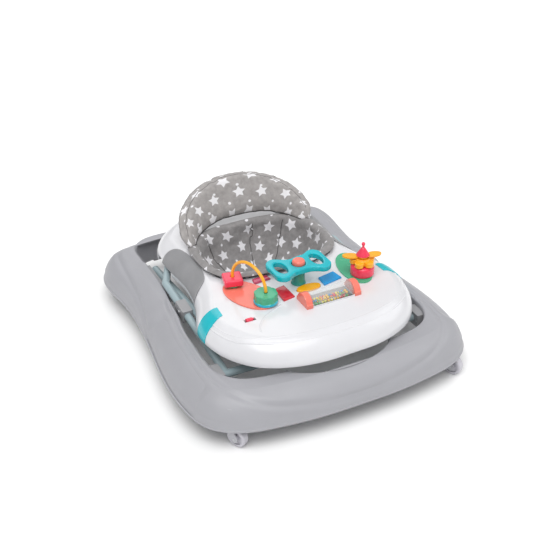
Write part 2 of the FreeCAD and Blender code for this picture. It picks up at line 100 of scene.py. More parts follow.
def blend_colours(tree, factor, first, second):
    mix = add(tree, "ShaderNodeMix", data_type="RGBA")
    tree.links.new(factor, mix.inputs["Factor"])
    for socket, value in ((mix.inputs[6], first), (mix.inputs[7], second)):
        if isinstance(value, tuple):
            socket.default_value = (*value, 1.0)
        else:
            tree.links.new(value, socket)
    return mix.outputs[2]


def stretch(tree, value, low, high, out_low, out_high):
    node = add(tree, "ShaderNodeMapRange")
    tree.links.new(value, node.inputs["Value"])
    for key, number in (("From Min", low), ("From Max", high), ("To Min", out_low), ("To Max", out_high)):
        node.inputs[key].default_value = number
    return node.outputs["Result"]


def bump(tree, bsdf, heights):
    """Stack bump maps from (height socket, strength, distance) rows onto the surface."""
    last = None
    for height, amount, deep in heights:
        node = add(tree, "ShaderNodeBump")
        node.inputs["Strength"].default_value = amount
        node.inputs["Distance"].default_value = deep
        tree.links.new(height, node.inputs["Height"])
        if last is not None:
            tree.links.new(last, node.inputs["Normal"])
        last = node.outputs["Normal"]
    tree.links.new(last, bsdf.inputs["Normal"])


def moulded_plastic(name, colour, roughness, grain_size=2600.0, grain_depth=0.00006, coat=0.0, shift=0.06):
    """Injection-moulded plastic: fine grain, faint mottling and rubbed edges."""
    material, tree, bsdf = new_material(name)
    darker = tuple(c * (1 - shift) for c in colour)
    lighter = tuple(min(1.0, c * (1 + shift)) for c in colour)
    mottled = blend_colours(tree, stretch(tree, grain(tree, 24, 4), 0.35, 0.65, 0, 1), darker, lighter)
    edge = add(tree, "ShaderNodeNewGeometry").outputs["Pointiness"]
    worn = stretch(tree, edge, 0.52, 0.60, 0.0, 0.35)
    pale = tuple(min(1.0, c * 1.25 + 0.03) for c in colour)
    tree.links.new(blend_colours(tree, worn, mottled, pale), bsdf.inputs["Base Color"])
    rough = stretch(tree, grain(tree, 60, 5), 0.3, 0.7, roughness - 0.05, roughness + 0.07)
    tree.links.new(rough, bsdf.inputs["Roughness"])
    bump(tree, bsdf, [(grain(tree, grain_size, 2), 0.35, grain_depth), (grain(tree, 35, 2), 0.04, 0.0004)])
    bsdf.inputs["Coat Weight"].default_value = coat
    bsdf.inputs["Coat Roughness"].default_value = 0.08
    return material


def bare_metal(name, colour, roughness, streak=900.0):
    material, tree, bsdf = new_material(name)
    bsdf.inputs["Metallic"].default_value = 1.0
    tint = blend_colours(tree, grain(tree, 80), tuple(c * 0.85 for c in colour), colour)
    tree.links.new(tint, bsdf.inputs["Base Color"])
    rough = stretch(tree, grain(tree, streak, 4), 0.3, 0.7, roughness - 0.08, roughness + 0.1)
    tree.links.new(rough, bsdf.inputs["Roughness"])
    bump(tree, bsdf, [(grain(tree, streak, 3), 0.2, 0.00003)])
    return material


def painted_tube(name, colour):
    """Powder coat with orange peel over steel."""
    material, tree, bsdf = new_material(name)
    tint = blend_colours(tree, grain(tree, 30, 5), tuple(c * 0.88 for c in colour), colour)
    tree.links.new(tint, bsdf.inputs["Base Color"])
    tree.links.new(stretch(tree, grain(tree, 120, 4), 0.3, 0.7, 0.28, 0.42), bsdf.inputs["Roughness"])
    bump(tree, bsdf, [(grain(tree, 700, 2), 0.25, 0.00012)])
    bsdf.inputs["Coat Weight"].default_value = 0.3
    bsdf.inputs["Coat Roughness"].default_value = 0.15
    return material


def clear_plastic(name, colour):
    material, tree, bsdf = new_material(name)
    tint = blend_colours(tree, grain(tree, 40), colour, (1.0, 1.0, 1.0))
    tree.links.new(tint, bsdf.inputs["Base Color"])
    tree.links.new(stretch(tree, grain(tree, 200), 0.3, 0.7, 0.03, 0.09), bsdf.inputs["Roughness"])
    bump(tree, bsdf, [(grain(tree, 90, 2), 0.15, 0.0002)])
    bsdf.inputs["Alpha"].default_value = 0.12
    bsdf.inputs["IOR"].default_value = 1.45
    return material


def bead_colours(name):
    """One colour for each bead, picked by a coarse cell pattern."""
    material, tree, bsdf = new_material(name)
    place = add(tree, "ShaderNodeTexCoord")
    cells = add(tree, "ShaderNodeTexVoronoi")
    cells.inputs["Scale"].default_value = 130.0
    tree.links.new(place.outputs["Object"], cells.inputs["Vector"])
    split = add(tree, "ShaderNodeSeparateColor")
    tree.links.new(cells.outputs["Color"], split.inputs["Color"])
    ramp = add(tree, "ShaderNodeValToRGB")
    ramp.color_ramp.interpolation = "CONSTANT"
    stops = [(0.0, (0.80, 0.05, 0.07)), (0.2, (0.92, 0.55, 0.03)), (0.4, (0.85, 0.80, 0.10)),
             (0.55, (0.10, 0.50, 0.12)), (0.7, (0.03, 0.25, 0.62)), (0.85, (0.90, 0.88, 0.82))]
    for position, colour in stops[2:]:
        ramp.color_ramp.elements.new(position)
    for element, (position, colour) in zip(ramp.color_ramp.elements, stops):
        element.position = position
        element.color = (*colour, 1.0)
    tree.links.new(split.outputs[0], ramp.inputs["Fac"])
    tree.links.new(ramp.outputs["Color"], bsdf.inputs["Base Color"])
    tree.links.new(stretch(tree, grain(tree, 500), 0.3, 0.7, 0.15, 0.3), bsdf.inputs["Roughness"])
    bump(tree, bsdf, [(grain(tree, 900), 0.1, 0.0001)])
    return material


STAR_PITCH = (0.050, 0.041)
STAR_SHIFT = (0.1, 0.004)
DOT_SHIFT = (0.62, 0.0265)
STAR_TIP = 0.0134
STAR_NOTCH = 0.0070
THREAD = 0.0011


def star_cloth(name, base, print_colour):
    """Brushed woven cloth with a print of small five-pointed stars and dots.

    The print is laid out in the vertex attribute "print", in metres along the cloth.
    """
    material, tree, bsdf = new_material(name)
    place = add(tree, "ShaderNodeAttribute", attribute_name="print").outputs["Vector"]
    split = add(tree, "ShaderNodeSeparateXYZ")
    tree.links.new(place, split.inputs[0])
    along, up = split.outputs[0], split.outputs[1]

    def cell(off_u, off_v):
        """Place in a brick-laid cell in metres from its centre, and a random number per cell."""
        pitch_u, pitch_v = STAR_PITCH
        v = sum_up(tree, "DIVIDE", sum_up(tree, "ADD", up, off_v), pitch_v)
        row = sum_up(tree, "FLOOR", v)
        shifted = sum_up(tree, "MULTIPLY_ADD", row, 0.45, sum_up(tree, "DIVIDE", along, pitch_u))
        u = sum_up(tree, "ADD", shifted, off_u)
        column = sum_up(tree, "FLOOR", u)
        join = add(tree, "ShaderNodeCombineXYZ")
        tree.links.new(column, join.inputs[0])
        tree.links.new(row, join.inputs[1])
        chance = add(tree, "ShaderNodeTexWhiteNoise", noise_dimensions="3D")
        tree.links.new(join.outputs[0], chance.inputs["Vector"])
        spread = add(tree, "ShaderNodeSeparateColor")
        tree.links.new(chance.outputs["Color"], spread.inputs[0])
        local_u = sum_up(tree, "SUBTRACT", sum_up(tree, "SUBTRACT", u, column), 0.5)
        local_v = sum_up(tree, "SUBTRACT", sum_up(tree, "SUBTRACT", v, row), 0.5)
        drift_u = sum_up(tree, "MULTIPLY", sum_up(tree, "SUBTRACT", spread.outputs[0], 0.5), 0.26)
        drift_v = sum_up(tree, "MULTIPLY", sum_up(tree, "SUBTRACT", spread.outputs[1], 0.5), 0.26)
        x = sum_up(tree, "MULTIPLY", sum_up(tree, "SUBTRACT", local_u, drift_u), pitch_u)
        y = sum_up(tree, "MULTIPLY", sum_up(tree, "SUBTRACT", local_v, drift_v), pitch_v)
        return x, y, spread.outputs[2]

    def length_of(x, y):
        squares = sum_up(tree, "ADD", sum_up(tree, "MULTIPLY", x, x), sum_up(tree, "MULTIPLY", y, y))
        return sum_up(tree, "SQRT", squares)

    x, y, chance = cell(*STAR_SHIFT)
    turn = sum_up(tree, "MULTIPLY_ADD", chance, 1.2, sum_up(tree, "ARCTAN2", y, x))
    sector = 2 * math.pi / 5
    wrapped = sum_up(tree, "PINGPONG", sum_up(tree, "ADD", turn, 4 * math.pi), sector / 2)
    reach = length_of(x, y)
    px = sum_up(tree, "MULTIPLY", reach, sum_up(tree, "COSINE", wrapped))
    py = sum_up(tree, "MULTIPLY", reach, sum_up(tree, "SINE", wrapped))
    ix, iy = STAR_NOTCH * math.cos(sector / 2), STAR_NOTCH * math.sin(sector / 2)
    length = math.hypot(STAR_TIP - ix, iy)
    across_x, across_y = iy / length, (STAR_TIP - ix) / length
    edge = sum_up(tree, "ADD", sum_up(tree, "MULTIPLY", sum_up(tree, "SUBTRACT", px, STAR_TIP), across_x),
                  sum_up(tree, "MULTIPLY", py, across_y))
    ragged = sum_up(tree, "MULTIPLY_ADD", grain(tree, 900, 2), 0.0006, edge)
    star = stretch(tree, ragged, 0.0, 0.0009, 1.0, 0.0)

    x, y, chance = cell(*DOT_SHIFT)
    reach = length_of(x, y)
    size = sum_up(tree, "MULTIPLY_ADD", chance, 0.0012, 0.0024)
    dot = stretch(tree, sum_up(tree, "SUBTRACT", reach, size), -0.0003, 0.0004, 1.0, 0.0)
    printed = sum_up(tree, "MAXIMUM", star, dot)

    weave_u = sum_up(tree, "SINE", sum_up(tree, "MULTIPLY", along, 2 * math.pi / THREAD))
    weave_v = sum_up(tree, "SINE", sum_up(tree, "MULTIPLY", up, 2 * math.pi / THREAD))
    weave = sum_up(tree, "MULTIPLY", weave_u, weave_v)
    low = tuple(c * 0.82 for c in base)
    high = tuple(c * 1.14 for c in base)
    ground = blend_colours(tree, stretch(tree, grain(tree, 110, 6), 0.3, 0.7, 0, 1), low, high)
    threads = stretch(tree, weave, -1, 1, 0.0, 0.18)
    ground = blend_colours(tree, threads, ground, tuple(min(1, c * 1.5) for c in high))
    tree.links.new(blend_colours(tree, printed, ground, print_colour), bsdf.inputs["Base Color"])
    tree.links.new(stretch(tree, grain(tree, 300), 0.3, 0.7, 0.72, 0.92), bsdf.inputs["Roughness"])
    bsdf.inputs["Sheen Weight"].default_value = 0.25
    bsdf.inputs["Sheen Roughness"].default_value = 0.5
    bump(tree, bsdf, [(weave, 0.35, 0.00012), (grain(tree, 70, 4), 0.35, 0.0012)])
    return material


def plain_cloth(name, colour):
    material, tree, bsdf = new_material(name)
    tint = blend_colours(tree, grain(tree, 400, 4), tuple(c * 0.75 for c in colour), colour)
    tree.links.new(tint, bsdf.inputs["Base Color"])
    tree.links.new(stretch(tree, grain(tree, 200), 0.3, 0.7, 0.75, 0.95), bsdf.inputs["Roughness"])
    bsdf.inputs["Sheen Weight"].default_value = 0.15
    bump(tree, bsdf, [(grain(tree, 1800, 2), 0.5, 0.0002)])
    return material


RING_GREY = (0.36, 0.36, 0.385)
PAD_GREY = (0.33, 0.312, 0.305)
# The seat's grey is darker than the pad's: painted shade for the inside of the seat bucket.
SEAT_GREY_PAINTED_SHADE = (0.235, 0.225, 0.225)

# One material for each material slot of the part.
MATERIALS = {
    "ring_grey": moulded_plastic("ring_grey_plastic", RING_GREY, 0.42, 2200, 0.0001, 0.0, 0.012),
    "bracket_grey": moulded_plastic("bracket_grey_plastic", (0.30, 0.30, 0.31), 0.45, 2600),
    "steel": bare_metal("zinc_steel", (0.62, 0.63, 0.65), 0.32),
    "pad_rubber": moulded_plastic("grey_rubber", (0.33, 0.33, 0.35), 0.8, 1500, 0.0001),
    "caster_plastic": moulded_plastic("caster_plastic", (0.40, 0.40, 0.43), 0.35, 2600, coat=0.2),
    "wheel_plastic": moulded_plastic("wheel_plastic", (0.52, 0.51, 0.56), 0.22, 2600, coat=0.5),
    "tube_paint": painted_tube("powder_coat", (0.36, 0.46, 0.49)),
    "glide_nylon": moulded_plastic("nylon", (0.72, 0.72, 0.70), 0.4, 2600),
    "tray_white": moulded_plastic("tray_gloss_white", (0.72, 0.72, 0.745), 0.2, 1800, 0.00002, 0.5, 0.01),
    "housing_white": moulded_plastic("housing_matt_white", (0.70, 0.70, 0.70), 0.5, 2400, shift=0.02),
    "insert_grey": moulded_plastic("insert_grey_plastic", (0.27, 0.27, 0.28), 0.5, 2600, 0.00012),
    "teal": moulded_plastic("teal_gloss", (0.0, 0.46, 0.53), 0.2, 2600, 0.00001, 0.25),
    "teal_green": moulded_plastic("teal_green_gloss", (0.03, 0.33, 0.27), 0.2, 2600, 0.00001, 0.25),
    "coral": moulded_plastic("coral_gloss", (0.90, 0.21, 0.155), 0.22, 2600, 0.00001, 0.2),
    "green": moulded_plastic("green_gloss", (0.06, 0.40, 0.22), 0.22, 2600, 0.00001, 0.2),
    "yellow": moulded_plastic("yellow_gloss", (0.93, 0.42, 0.02), 0.22, 2600, 0.00001, 0.2),
    "red": moulded_plastic("pink_red_gloss", (0.86, 0.045, 0.10), 0.2, 2600, 0.00001, 0.25),
    "orange": moulded_plastic("orange_gloss", (0.90, 0.40, 0.0), 0.2, 2600, 0.00001, 0.25),
    "blue": moulded_plastic("blue_gloss", (0.0, 0.31, 0.70), 0.2, 2600, 0.00001, 0.25),
    "clear": clear_plastic("clear_plastic", (0.90, 0.93, 0.96)),
    "bead_mix": bead_colours("bead_colours"),
    "board": moulded_plastic("circuit_green", (0.04, 0.22, 0.09), 0.5, 1200, 0.0001),
    "speaker_black": moulded_plastic("speaker_black_paper", (0.02, 0.02, 0.02), 0.7, 1500, 0.0001),
    "battery": painted_tube("battery_wrap", (0.10, 0.11, 0.13)),
}

# Colours of single pieces, and the cloth of the seat.
DARK_RED = moulded_plastic("deep_red_gloss", (0.62, 0.015, 0.03), 0.14, 2600, 0.00001, 0.7)
SHADE_RED = moulded_plastic("raspberry_gloss", (0.52, 0.05, 0.12), 0.2, 2600, 0.00001, 0.5)
CYAN = moulded_plastic("cyan_gloss", (0.0, 0.44, 0.58), 0.16, 2600, 0.00001, 0.6)
PAD_CLOTH = star_cloth("star_cloth_pad", PAD_GREY, (0.80, 0.79, 0.81))
# The seat's cloth is the pad's star cloth with a darker ground and print: painted shade for the inside of
# the seat bucket.
SEAT_CLOTH = star_cloth("star_cloth_seat_painted_shade", SEAT_GREY_PAINTED_SHADE, (0.74, 0.73, 0.76))
# Near-black cord cloth: on the seat's seams, and on the pad's lower inner edge, where it is painted shadow
# for the gap between pad and seat.
SEAM_AND_SHADOW_GAP_CORD = plain_cloth("seam_and_painted_shadow_gap_cloth", (0.07, 0.065, 0.065))
SEAM = plain_cloth("seam_cloth", (0.20, 0.19, 0.19))
WEBBING = plain_cloth("webbing_grey", (0.33, 0.32, 0.33))


# ---- mesh helpers ----

def mesh_object(name, points, faces, material, smooth=True):
    mesh = bpy.data.meshes.new(name)
    mesh.from_pydata([tuple(p) for p in points], [], faces)
    mesh.validate()
    mesh.update()
    if smooth:
        mesh.shade_smooth()
    obj = bpy.data.objects.new(name, mesh)
    bpy.context.scene.collection.objects.link(obj)
    obj.data.materials.append(material)
    return obj


def settle(obj):
    """Apply every modifier on obj to its mesh."""
    bpy.context.view_layer.update()
    evaluated = obj.evaluated_get(bpy.context.evaluated_depsgraph_get())
    mesh = bpy.data.meshes.new_from_object(evaluated)
    obj.modifiers.clear()
    obj.data = mesh
    return obj


def positions(obj):
    """Every vertex of obj, as rows of x, y, z in metres."""
    co = np.zeros(len(obj.data.vertices) * 3)
    obj.data.vertices.foreach_get("co", co)
    return co.reshape(-1, 3)


def set_positions(obj, co):
    obj.data.vertices.foreach_set("co", np.ascontiguousarray(co, dtype=np.float32).ravel())
    obj.data.update()


def set_print(obj, uv):
    """Where each vertex lies on the flat printed cloth, in metres."""
    attribute = obj.data.attributes.new("print", "FLOAT_VECTOR", "POINT")
    flat = np.zeros((len(uv), 3), np.float32)
    flat[:, :2] = uv
    attribute.data.foreach_set("vector", flat.ravel())


def grid_faces(rows, columns, closed_rows=False):
    """Four-sided faces of a grid of points whose columns close on themselves."""
    faces = []
    for i in range(rows if closed_rows else rows - 1):
        k = (i + 1) % rows
        for j in range(columns):
            m = (j + 1) % columns
            faces.append((i * columns + j, i * columns + m, k * columns + m, k * columns + j))
    return faces


def closed_spline(points, count):
    """Smooth closed curve through points by chord length, as count samples."""
    p = np.array(points, float)
    n = len(p)
    gaps = np.linalg.norm(np.roll(p, -1, 0) - p, axis=1)
    a = np.zeros((n, n))
    rhs = np.zeros((n, 2))
    for i in range(n):
        before, after = gaps[i - 1], gaps[i]
        a[i, i - 1] += after
        a[i, i] += 2 * (before + after)
        a[i, (i + 1) % n] += before
        rhs[i] = 3 * (after * (p[i] - p[i - 1]) / before + before * (p[(i + 1) % n] - p[i]) / after)
    slopes = np.linalg.solve(a, rhs)
    stops = np.concatenate([[0], np.cumsum(gaps)])
    t = np.linspace(0, stops[-1], count, endpoint=False)
    i = np.clip(np.searchsorted(stops, t, side="right") - 1, 0, n - 1)
    s = ((t - stops[i]) / gaps[i])[:, None]
    g = gaps[i][:, None]
    after = (i + 1) % n
    return ((2 * s**3 - 3 * s**2 + 1) * p[i] + (s**3 - 2 * s**2 + s) * g * slopes[i]
            + (3 * s**2 - 2 * s**3) * p[after] + (s**3 - s**2) * g * slopes[after])


def moved_in(loop, distance):
    """A dense clockwise loop moved inwards by distance along its normals."""
    run = np.roll(loop, -1, 0) - np.roll(loop, 1, 0)
    run /= np.linalg.norm(run, axis=1)[:, None]
    return loop + distance * np.stack([run[:, 1], -run[:, 0]], 1)


def radii(loop, centre, angles):
    """Distance from centre to a loop along each angle."""
    d = loop - np.array(centre)
    a = np.arctan2(d[:, 1], d[:, 0])
    r = np.hypot(d[:, 0], d[:, 1])
    order = np.argsort(a)
    return np.interp(angles, a[order], r[order], period=2 * math.pi)


def both_sides(half):
    return half + [(-x, y) for x, y in reversed(half[1:-1])]


def steps(values, count):
    """Natural smooth curve through evenly numbered values, sampled count times."""
    v = np.array(values, float)
    n = len(v)
    a = np.eye(n) * 4
    a[0, 0] = a[-1, -1] = 2
    for i in range(n - 1):
        a[i, i + 1] = a[i + 1, i] = 1
    rhs = np.zeros_like(v)
    rhs[1:-1] = 3 * (v[2:] - v[:-2])
    rhs[0] = 3 * (v[1] - v[0])
    rhs[-1] = 3 * (v[-1] - v[-2])
    m = np.linalg.solve(a, rhs)
    t = np.linspace(0, n - 1, count)
    i = np.clip(t.astype(int), 0, n - 2)
    s = (t - i)[:, None] if v.ndim > 1 else t - i
    return ((2 * s**3 - 3 * s**2 + 1) * v[i] + (s**3 - 2 * s**2 + s) * m[i]
            + (3 * s**2 - 2 * s**3) * v[i + 1] + (s**3 - s**2) * m[i + 1])


def line_distance(points, line):
    """Distance from 2-D points to a polyline, and on which side of it they lie."""
    best = np.full(len(points), 1e9)
    side = np.zeros(len(points))
    for a, b in zip(line[:-1], line[1:]):
        run = b - a
        t = np.clip(((points - a) @ run) / (run @ run), 0, 1)
        gap = points - (a + t[:, None] * run)
        d = np.hypot(gap[:, 0], gap[:, 1])
        closer = d < best
        best = np.where(closer, d, best)
        side = np.where(closer, np.sign(run[0] * gap[:, 1] - run[1] * gap[:, 0]), side)
    return best, side


def space_distance(points, line):
    """Distance from 3-D points to a polyline."""
    best = np.full(len(points), 1e9)
    for a, b in zip(line[:-1], line[1:]):
        run = b - a
        t = np.clip(((points - a) @ run) / (run @ run), 0, 1)
        best = np.minimum(best, np.linalg.norm(points - (a + t[:, None] * run), axis=1))
    return best


def normals_of(obj):
    flat = np.zeros(len(obj.data.vertices) * 3)
    obj.data.vertices.foreach_get("normal", flat)
    return flat.reshape(-1, 3)


def on_surface(obj, points, lift):
    """Points moved to the nearest place on obj's surface, then out by lift."""
    moved = []
    for p in points:
        _, place, normal, _ = obj.closest_point_on_mesh(Vector(p))
        moved.append(place + normal * lift)
    return moved


def tube_along(name, points, radius, material, closed=False, sides=10):
    """Round cord through points, as a mesh with closed ends."""
    p = np.array(points, float)
    n = len(p)
    if closed:
        run = np.roll(p, -1, 0) - np.roll(p, 1, 0)
    else:
        run = np.gradient(p, axis=0)
    run /= np.linalg.norm(run, axis=1)[:, None]
    normal = np.cross(run[0], (0.0, 0.0, 1.0))
    if np.linalg.norm(normal) < 0.1:
        normal = np.cross(run[0], (1.0, 0.0, 0.0))
    rings = []
    for i in range(n):
        normal = normal - run[i] * (normal @ run[i])
        normal /= np.linalg.norm(normal)
        other = np.cross(run[i], normal)
        for k in range(sides):
            t = 2 * math.pi * k / sides
            rings.append(p[i] + radius * (math.cos(t) * normal + math.sin(t) * other))
    faces = grid_faces(n, sides, closed_rows=closed)
    if not closed:
        rings += [p[0], p[-1]]
        for k in range(sides):
            faces.append((n * sides, (k + 1) % sides, k))
            faces.append((n * sides + 1, (n - 1) * sides + k, (n - 1) * sides + (k + 1) % sides))
    return mesh_object(name, rings, faces, material)


def join(name, pieces):
    """One object from several, keeping each one's materials."""
    bpy.ops.object.select_all(action="DESELECT")
    for piece in pieces:
        piece.select_set(True)
    bpy.context.view_layer.objects.active = pieces[0]
    bpy.ops.object.join()
    pieces[0].name = name
    return pieces[0]


def cylinder(name, at, radius, z0, z1, material):
    """Upright peg with bevelled rims."""
    sides = 48
    round_off = 1.0 * MM
    profile = [(0.0, z0), (radius - round_off, z0), (radius, z0 + round_off), (radius, z1 - round_off),
               (radius - round_off, z1), (0.0, z1)]
    points = []
    for r, z in profile:
        for k in range(sides):
            t = 2 * math.pi * k / sides
            out = max(r, 1e-5)
            points.append((at[0] + out * math.cos(t), at[1] + out * math.sin(t), z))
    return mesh_object(name, points, grid_faces(len(profile), sides), material)


def softened(node, name, voxel, rounds, material):
    """Copy of a CAD node with its edges rounded as on a moulded part."""
    source = NODES[node]
    obj = bpy.data.objects.new(name, source.data.copy())
    bpy.context.scene.collection.objects.link(obj)
    remesh = obj.modifiers.new("remesh", "REMESH")
    remesh.mode = "VOXEL"
    remesh.voxel_size = voxel
    relax = obj.modifiers.new("relax", "SMOOTH")
    relax.factor = 0.5
    relax.iterations = rounds
    settle(obj)
    obj.data.materials.clear()
    obj.data.materials.append(material)
    obj.data.shade_smooth()
    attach(obj, source["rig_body"])
    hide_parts(node)
    return obj


# ---- finishes on the CAD nodes ----

def finish_nodes():
    slots = {row["node"]: row["material_slot"] for row in frame["record"]["subparts"]}
    for name, node in NODES.items():
        if slots[name] in MATERIALS:
            node.data.materials.clear()
            node.data.materials.append(MATERIALS[slots[name]])


# ---- base ring ----

RING_HALF = [(0, -350), (-90, -348), (-165, -339), (-232, -322), (-278, -285), (-299, -215),
             (-300, -130), (-287, -20), (-277, 80), (-280, 190), (-286, 260), (-268, 310),
             (-225, 334), (-150, 345), (-70, 349), (0, 350)]
OPENING_HALF = [(0, -262), (-60, -262), (-124, -263), (-165, -258), (-200, -244), (-224, -214),
                (-231, -165), (-230, -110), (-227, -50), (-219, -5), (-215, 40), (-209, 85),
                (-205, 130), (-204, 190), (-205, 245), (-198, 288), (-175, 308), (-130, 315),
                (-65, 316), (0, 316)]
RING_LEVELS = [(42, 0), (56, 3), (74, 10), (88, 20), (97, 33), (103, 48)]
RING_TOP = 103.0
RING_CENTRE = (0.0, 10.0)
SCALLOP_Y = -250.0
SCALLOP_A = 113.0
SCALLOP_B = 54.0
# Rows of (z, inset) and (outwards, z) that roll the lip under the skirt and turn the opening's edge.
SKIRT_LIP = [(62, 4.6), (48, 3.4), (42.6, 2.6), (42.0, 1.8), (42.2, 0.5), (43.4, 0.0), (45.6, 0.0),
             (47.0, 0.6), (47.6, 1.6)]
OPENING_LIP = [(4.0, 103.0), (2.2, 102.6), (0.8, 101.4), (0.1, 99.6), (0.0, 97.0), (0.0, 80.0), (0.0, 60.0),
               (0.0, 44.0), (0.8, 42.4), (2.2, 42.4), (3.0, 44.0), (3.0, 70.0), (3.0, 96.0), (5.0, 99.5)]
UNDERSIDE = [(99.5, 47), (94.0, 36), (85.0, 23), (71.0, 13)]
SKIRT_STEPS = 40
SKIRT_FIRST = 5
TOP_STEPS = 24
GROOVE_WIDTH = 5.0
FRONT_GROOVE = 3.2
SIDE_GROOVE = 2.8
FRONT_CREASE = [(216, 50, 103), (226, 14, 103), (236, -40, 103), (241, -80, 103), (244, -125, 102.5),
                (246, -182, 101.5), (243, -230, 101), (233, -266, 98.5), (215, -293, 93), (190, -311, 86),
                (155, -325, 78), (110, -333, 72), (60, -339, 67), (0, -342, 64)]
SIDE_CREASE = [(232, 318, 101), (244, 290, 99.5), (249, 262, 98), (254, 209, 94), (256, 157, 88),
               (261, 100, 80), (270, 44, 68), (282, -9, 53)]
CASTER_AT = {"front_left": (-236, -289), "front_right": (236, -289),
             "rear_left": (-242, 288), "rear_right": (242, 288)}
BOSS_R = 12
BOSS_Z = (54, 84)


def base_ring():
    """Thin moulded ring with its flowing creases, rolled lip, inner wall and caster bosses."""
    outer = closed_spline(both_sides(RING_HALF), 3000)
    opening = closed_spline(both_sides(OPENING_HALF), 3000)
    uniform = np.linspace(-math.pi, math.pi, 720, endpoint=False)
    cx, cy = RING_CENTRE

    def opening_radius(grow, angles):
        """Distance from the ring's centre to the opening, the wider of the main outline and the scallop."""
        main = radii(moved_in(opening, -grow), RING_CENTRE, angles)
        front = np.sin(angles) < -0.5
        ray = np.stack([np.cos(angles), np.sin(angles)], 1)
        a, b = SCALLOP_A + grow, SCALLOP_B + grow
        qa = (ray[:, 0] / a) ** 2 + (ray[:, 1] / b) ** 2
        qb = 2 * ((cx * ray[:, 0]) / a**2 + ((cy - SCALLOP_Y) * ray[:, 1]) / b**2)
        qc = (cx / a) ** 2 + ((cy - SCALLOP_Y) / b) ** 2 - 1
        disc = qb**2 - 4 * qa * qc
        far = np.where(disc > 0, (-qb + np.sqrt(np.maximum(disc, 0))) / (2 * qa), 0)
        return np.where(front, np.maximum(main, far), main)

    probe = np.linspace(-2.3, -0.8, 6001)
    main = radii(opening, RING_CENTRE, probe)
    both = opening_radius(0, probe)
    cusp = probe[1:][np.diff((both > main + 1e-6).astype(int)) != 0]
    angles = np.sort(np.concatenate([uniform, cusp]))
    columns = len(angles)
    ray = np.stack([np.cos(angles), np.sin(angles)], 1)

    def outline(inset):
        return radii(moved_in(outer, inset), RING_CENTRE, angles)

    rows = []
    for z, inset in SKIRT_LIP:
        rows.append((outline(inset), np.full(columns, float(z))))
    for z, inset in steps(RING_LEVELS, SKIRT_STEPS)[SKIRT_FIRST:]:
        rows.append((outline(inset + max(0.0, 0.6 * (1 - (z - 48) / 20))), np.full(columns, z)))
    edge = opening_radius(0, angles)
    last = rows[-1][0]
    for s in np.linspace(0, 1, TOP_STEPS + 2)[1:-1]:
        rows.append((last + (edge + 4 - last) * s, np.full(columns, RING_TOP)))
    for out, z in OPENING_LIP:
        rows.append((opening_radius(out, angles), np.full(columns, z)))
    for z, inset in UNDERSIDE:
        rows.append((outline(inset), np.full(columns, z)))
    r = np.array([row[0] for row in rows])
    z = np.array([row[1] for row in rows])
    x = cx + r * ray[:, 0]
    y = cy + r * ray[:, 1]

    mirrored = np.stack([np.abs(x.ravel()), y.ravel(), z.ravel()], 1)
    lip_end = len(SKIRT_LIP)
    top_end = lip_end + SKIRT_STEPS - SKIRT_FIRST + TOP_STEPS
    outside = np.zeros(r.shape)
    outside[lip_end:top_end] = 1
    away = np.clip((r - edge[None, :] - 2) / 8, 0, 1)
    outside = (outside * away * np.clip((z - 46) / 8, 0, 1)).ravel()
    front_line = np.array(steps(FRONT_CREASE, 200))
    side_line = np.array(steps(SIDE_CREASE, 120))
    reach, side = line_distance(mirrored[:, :2], front_line[:, :2])
    along = np.clip((mirrored[:, 1] + 250) / 25, 0, 1) * np.clip((30 - mirrored[:, 1]) / 40, 0, 1)
    slope = 0.42 * np.maximum(0, reach * side - 1.5) * along
    top_rows = np.zeros(r.shape)
    top_rows[lip_end:top_end + 5] = 1
    slope = np.minimum(slope, 6.0) * top_rows.ravel()
    z = z - slope.reshape(z.shape)
    grooves = np.zeros(len(mirrored))
    for line, deep in ((front_line, FRONT_GROOVE), (side_line, SIDE_GROOVE)):
        d = space_distance(mirrored, line)
        hollow = deep * np.exp(-(d / GROOVE_WIDTH) ** 2)
        shoulder = 0.8 * np.exp(-((d - 2.4 * GROOVE_WIDTH) / GROOVE_WIDTH) ** 2)
        grooves = grooves - hollow + shoulder
    points = np.stack([x.ravel(), y.ravel(), z.ravel()], 1) * MM
    faces = grid_faces(len(rows), columns, closed_rows=True)
    ring = mesh_object("ring_shell", points, faces, MATERIALS["ring_grey"])
    set_positions(ring, positions(ring) + normals_of(ring) * (grooves * outside)[:, None] * MM)
    bosses = []
    for name, at in CASTER_AT.items():
        bosses.append(cylinder("boss_" + name, (at[0] * MM, at[1] * MM), BOSS_R * MM, BOSS_Z[0] * MM,
                               BOSS_Z[1] * MM, MATERIALS["ring_grey"]))
    join("ring_shell", [ring] + bosses)
    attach(ring, "base")
    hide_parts("base_ring")
    return ring


# ---- seat ----

SEAT_CENTRE = (0.0, 64.0)
SEAM_TURNS = (0.92, 1.49, 2.22)
# Rows of (z, half width, half depth) down the seat's wall, for its cloth and for its seams.
SEAT_LEVELS = [(171.5, 148, 110), (174.5, 143, 105), (174.0, 137, 99), (169, 131.5, 94), (158, 128.5, 91.5),
               (146, 126, 89.5), (132, 121, 86), (118, 113, 80), (104, 103, 72), (92, 91, 62), (83, 76, 51),
               (77.5, 58, 38), (75.5, 38, 24), (75, 18, 11)]
SEAM_LEVELS = [(170, 132, 94), (158, 128.5, 91.5), (146, 126, 89.5), (132, 121, 86), (118, 113, 80),
               (104, 103, 72), (92, 91, 62), (84, 78, 52)]
SEAT_FLOOR_Z = 75
SEAT_ROWS = 64
SEAT_COLUMNS = 420
SEAT_POWER = 3.0
SEAT_POWER_FALL = 0.8
SEAM_TOP_Z = 172
SEAM_DROP = 97
CLOTH_ROW = 24
LEG_HOLES = [(-52.0, 112.0, 33.0), (52.0, 112.0, 33.0)]
LEG_HOLE_AHEAD = 20
BINDING_R = 2.4
SEAM_R = 0.8
CLOTH_THICKNESS = 1.6


